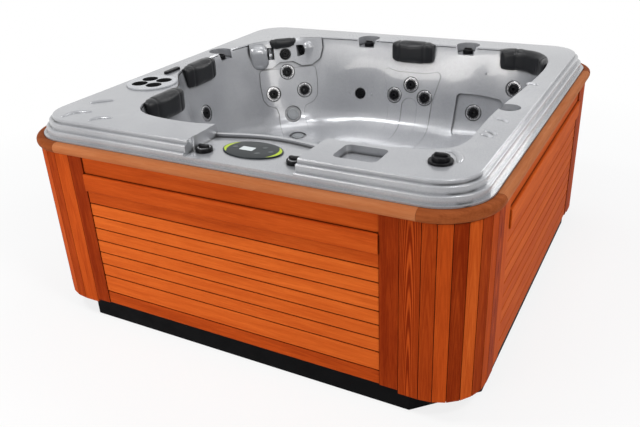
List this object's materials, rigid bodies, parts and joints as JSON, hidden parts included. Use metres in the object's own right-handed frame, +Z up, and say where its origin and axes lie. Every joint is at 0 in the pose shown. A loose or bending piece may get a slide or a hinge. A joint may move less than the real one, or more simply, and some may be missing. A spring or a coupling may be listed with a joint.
{
  "type": "hot tub",
  "caption": "Square hot tub with a moulded seated shell, stepped rim and framed cedar cabinet; lid, panel, keys, knobs and jet nozzles move.",
  "frame": {"origin": "middle of the base on the ground", "axes": "+Z up; -Y is the front with the control ledge and access panel; +X is the right side"},
  "size_m": [2.072, 2.072, 0.9695],
  "materials": {
    "pearl_acrylic": "pearl silver, polished",
    "base_black": "matte",
    "foam_block": "matte",
    "frame_timber": "sawn",
    "cedar_rail": "oiled",
    "cedar_staves": "oiled",
    "cedar_panel": "oiled",
    "pillow_charcoal": "satin",
    "white_plastic": "plain",
    "filter_paper": "pleated",
    "deck_grey": "polished",
    "panel_slate": "satin",
    "display_pale": "clear over pale",
    "key_grey": "satin",
    "black_plastic": "satin",
    "bright_metal": "brushed",
    "disc_grey": "satin",
    "motor_black": "painted",
    "box_grey": "satin",
    "heater_steel": "brushed"
  },
  "bodies": {
    "tub": {"shell": "pearl_acrylic", "base_pan": "base_black", "bowl_supports": "foam_block", "frame_bottom_plates": "frame_timber", "frame_posts": "frame_timber", "frame_top_plates": "frame_timber", "top_rail_boards": "cedar_rail", "top_rail_corners": "cedar_rail", "corner_staves": "cedar_staves", "right_panel": "cedar_panel", "back_panel": "cedar_panel", "left_panel": "cedar_panel", "pillow_front_left": "pillow_charcoal", "pillow_left": "pillow_charcoal", "pillow_corner": "pillow_charcoal", "pillow_back": "pillow_charcoal", "pillow_right_corner": "pillow_charcoal", "filter_housing": "white_plastic", "filter_cartridge": "filter_paper", "control_panel": "panel_slate", "display_window": "display_pale", "air_valve_bodies": "white_plastic", "diverter_valve_body": "black_plastic", "rim_valve_bodies": "white_plastic", "waterfall_bar": "black_plastic", "jet_bezels": "bright_metal", "jet_bodies": "white_plastic", "disc_covers": "disc_grey", "suction_covers": "black_plastic", "pump_motor": "motor_black", "pump_wet_end": "black_plastic", "control_box": "box_grey", "heater_tube": "heater_steel", "plumbing": "white_plastic"},
    "access_panel": {"access_panel_frame": "cedar_panel", "access_panel_slats": "cedar_panel", "access_panel_battens": "frame_timber"},
    "filter_lid": {"filter_lid": "deck_grey"},
    "jets_key": {"jets_key": "key_grey"},
    "warmer_key": {"warmer_key": "key_grey"},
    "cooler_key": {"cooler_key": "key_grey"},
    "light_key": {"light_key": "key_grey"},
    "air_knob_left": {"air_knob_left": "black_plastic"},
    "air_knob_right": {"air_knob_right": "black_plastic"},
    "rim_knob_left": {"rim_knob_left": "black_plastic"},
    "rim_knob_back_left": {"rim_knob_back_left": "black_plastic"},
    "rim_knob_back_right": {"rim_knob_back_right": "black_plastic"},
    "diverter_knob": {"diverter_knob": "black_plastic"},
    "jet_nozzle_chair_top": {"jet_nozzle_chair_top": "black_plastic"},
    "jet_nozzle_chair_left": {"jet_nozzle_chair_left": "black_plastic"},
    "jet_nozzle_chair_right": {"jet_nozzle_chair_right": "black_plastic"},
    "jet_nozzle_back_top": {"jet_nozzle_back_top": "black_plastic"},
    "jet_nozzle_back_left": {"jet_nozzle_back_left": "black_plastic"},
    "jet_nozzle_back_right": {"jet_nozzle_back_right": "black_plastic"},
    "jet_nozzle_left_wall": {"jet_nozzle_left_wall": "black_plastic"},
    "jet_nozzle_right_corner": {"jet_nozzle_right_corner": "black_plastic"},
    "jet_nozzle_right_wall": {"jet_nozzle_right_wall": "black_plastic"},
    "jet_nozzle_neck_middle": {"jet_nozzle_neck_middle": "black_plastic"},
    "jet_nozzle_neck_left": {"jet_nozzle_neck_left": "black_plastic"},
    "jet_nozzle_neck_right": {"jet_nozzle_neck_right": "black_plastic"}
  },
  "joints": [
    {"name": "access_panel_pull", "type": "slide", "parent": "tub", "child": "access_panel", "axis": [0, -1, 0], "range_m": [0, 0.3]},
    {"name": "filter_lid_lift", "type": "slide", "parent": "tub", "child": "filter_lid", "axis": [0, 0, 1], "range_m": [0, 0.15]},
    {"name": "jets_key_press", "type": "slide", "parent": "tub", "child": "jets_key", "axis": [0, 0, -1], "range_m": [0, 0.001], "stiffness_N_per_m": 600, "springref_m": -0.001},
    {"name": "warmer_key_press", "type": "slide", "parent": "tub", "child": "warmer_key", "axis": [0, 0, -1], "range_m": [0, 0.001], "stiffness_N_per_m": 600, "springref_m": -0.001},
    {"name": "cooler_key_press", "type": "slide", "parent": "tub", "child": "cooler_key", "axis": [0, 0, -1], "range_m": [0, 0.001], "stiffness_N_per_m": 600, "springref_m": -0.001},
    {"name": "light_key_press", "type": "slide", "parent": "tub", "child": "light_key", "axis": [0, 0, -1], "range_m": [0, 0.001], "stiffness_N_per_m": 600, "springref_m": -0.001},
    {"name": "air_knob_left_turn", "type": "hinge", "parent": "tub", "child": "air_knob_left", "pos_m": [-0.11, -0.905, 0.883], "axis": [0, 0, 1], "range_deg": [-90, 90]},
    {"name": "air_knob_right_turn", "type": "hinge", "parent": "tub", "child": "air_knob_right", "pos_m": [0.279, -0.88, 0.883], "axis": [0, 0, 1], "range_deg": [-90, 90]},
    {"name": "rim_knob_left_turn", "type": "hinge", "parent": "tub", "child": "rim_knob_left", "pos_m": [-0.868, 0.285, 0.892], "axis": [0, 0, 1], "range_deg": [-90, 90]},
    {"name": "rim_knob_back_left_turn", "type": "hinge", "parent": "tub", "child": "rim_knob_back_left", "pos_m": [-0.195, 0.824, 0.892], "axis": [0, 0, 1], "range_deg": [-90, 90]},
    {"name": "rim_knob_back_right_turn", "type": "hinge", "parent": "tub", "child": "rim_knob_back_right", "pos_m": [0.392, 0.83, 0.892], "axis": [0, 0, 1], "range_deg": [-90, 90]},
    {"name": "diverter_knob_turn", "type": "hinge", "parent": "tub", "child": "diverter_knob", "pos_m": [0.802, -0.8, 0.946], "axis": [0, 0, 1], "range_deg": [-90, 90]},
    {"name": "jet_chair_top_turn", "type": "hinge", "parent": "tub", "child": "jet_nozzle_chair_top", "pos_m": [-0.63989, 0.61852, 0.752], "axis": [0.6395, -0.7259, 0.2531], "range_deg": [0, 90]},
    {"name": "jet_chair_left_turn", "type": "hinge", "parent": "tub", "child": "jet_nozzle_chair_left", "pos_m": [-0.68951, 0.52514, 0.63649], "axis": [0.771, -0.5815, 0.2598], "range_deg": [0, 90]},
    {"name": "jet_chair_right_turn", "type": "hinge", "parent": "tub", "child": "jet_nozzle_chair_right", "pos_m": [-0.54963, 0.65685, 0.64072], "axis": [0.5744, -0.7767, 0.2584], "range_deg": [0, 90]},
    {"name": "jet_back_top_turn", "type": "hinge", "parent": "tub", "child": "jet_nozzle_back_top", "pos_m": [0.09798, 0.74803, 0.71034], "axis": [0.0053, -0.9771, 0.2127], "range_deg": [0, 90]},
    {"name": "jet_back_left_turn", "type": "hinge", "parent": "tub", "child": "jet_nozzle_back_left", "pos_m": [0.002, 0.73321, 0.64473], "axis": [0.0008, -0.9753, 0.2208], "range_deg": [0, 90]},
    {"name": "jet_back_right_turn", "type": "hinge", "parent": "tub", "child": "jet_nozzle_back_right", "pos_m": [0.18408, 0.73464, 0.64519], "axis": [0.0154, -0.9763, 0.2157], "range_deg": [0, 90]},
    {"name": "jet_left_wall_turn", "type": "hinge", "parent": "tub", "child": "jet_nozzle_left_wall", "pos_m": [-0.78924, -0.00851, 0.67326], "axis": [0.9765, 0.0608, 0.2068], "range_deg": [0, 90]},
    {"name": "jet_right_corner_turn", "type": "hinge", "parent": "tub", "child": "jet_nozzle_right_corner", "pos_m": [0.67357, 0.75979, 0.73871], "axis": [-0.2217, -0.9581, 0.1814], "range_deg": [0, 90]},
    {"name": "jet_right_wall_turn", "type": "hinge", "parent": "tub", "child": "jet_nozzle_right_wall", "pos_m": [0.46141, 0.75803, 0.58361], "axis": [0.0823, -0.9776, 0.1935], "range_deg": [0, 90]},
    {"name": "jet_neck_middle_turn", "type": "hinge", "parent": "tub", "child": "jet_nozzle_neck_middle", "pos_m": [-0.65281, 0.6289, 0.85475], "axis": [0.6433, -0.7251, 0.2458], "range_deg": [0, 90]},
    {"name": "jet_neck_left_turn", "type": "hinge", "parent": "tub", "child": "jet_nozzle_neck_left", "pos_m": [-0.72733, 0.54911, 0.867], "axis": [0.7629, 0.6465, 0], "range_deg": [0, 90]},
    {"name": "jet_neck_right_turn", "type": "hinge", "parent": "tub", "child": "jet_nozzle_neck_right", "pos_m": [-0.58211, 0.71198, 0.867], "axis": [-0.5552, -0.8317, 0], "range_deg": [0, 90]}
  ]
}
